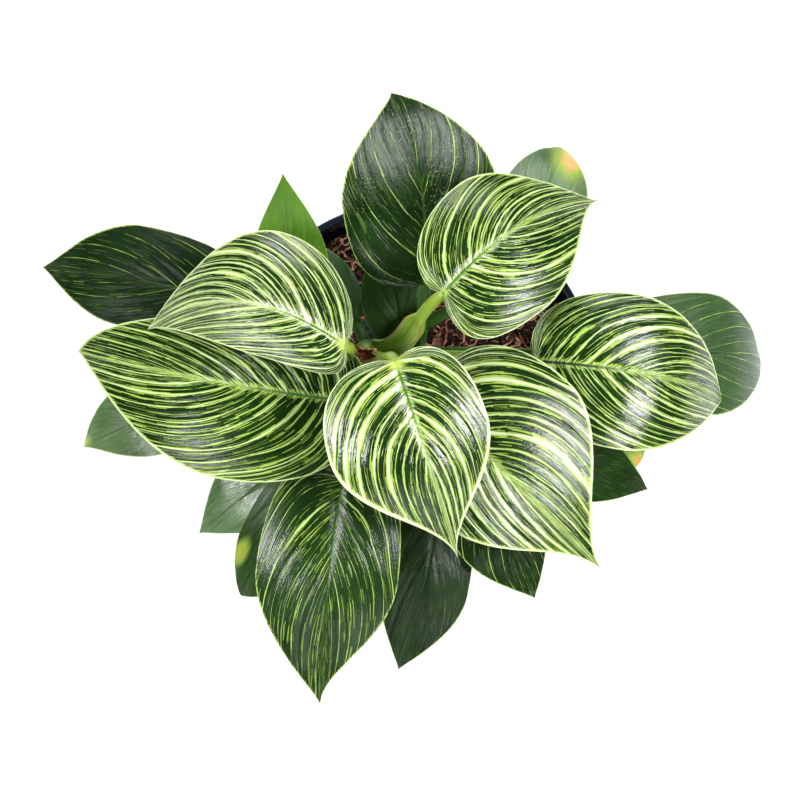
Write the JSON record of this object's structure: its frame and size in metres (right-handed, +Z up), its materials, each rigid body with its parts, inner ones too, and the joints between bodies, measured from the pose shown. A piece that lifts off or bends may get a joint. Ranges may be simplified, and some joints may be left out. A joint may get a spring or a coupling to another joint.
{
  "type": "potted philodendron",
  "caption": "Pinstriped heart-leaf philodendron with a short stem, standing in soil in a round tapered plastic nursery pot.",
  "frame": {"origin": "middle of the pot's underside, on the surface it stands on", "axes": "+Z up; +X along the plant's widest spread, to the right seen from the front; +Y to the back"},
  "size_m": [0.2893, 0.2362, 0.2369],
  "materials": {
    "pot_plastic": "satin",
    "potting_mix": "matte",
    "stem": "satin",
    "striped_leaf": "satin",
    "dark_leaf": "satin",
    "bright_leaf": "satin",
    "dry_sheath": "matte"
  },
  "bodies": {
    "root": {"pot": "pot_plastic", "soil": "potting_mix", "stem": "stem", "bud_scale": "dry_sheath", "leaf_front_top": "striped_leaf", "leaf_front_right": "striped_leaf", "leaf_back_right": "striped_leaf", "leaf_right": "striped_leaf", "leaf_left_upper": "striped_leaf", "leaf_left": "striped_leaf", "leaf_far_left": "dark_leaf", "leaf_pointed": "bright_leaf", "leaf_back": "dark_leaf", "leaf_back_old": "dark_leaf", "leaf_far_right": "dark_leaf", "leaf_right_low": "dark_leaf", "leaf_right_small": "dark_leaf", "leaf_front_low_right": "dark_leaf", "leaf_front_low": "dark_leaf", "leaf_front_left": "dark_leaf", "leaf_front_left_under": "dark_leaf", "leaf_left_front": "dark_leaf", "leaf_left_under": "dark_leaf", "leaf_inner_back": "dark_leaf", "leaf_inner_left": "dark_leaf", "leaf_inner_small": "dark_leaf", "dried_sheath": "dry_sheath"}
  },
  "joints": []
}
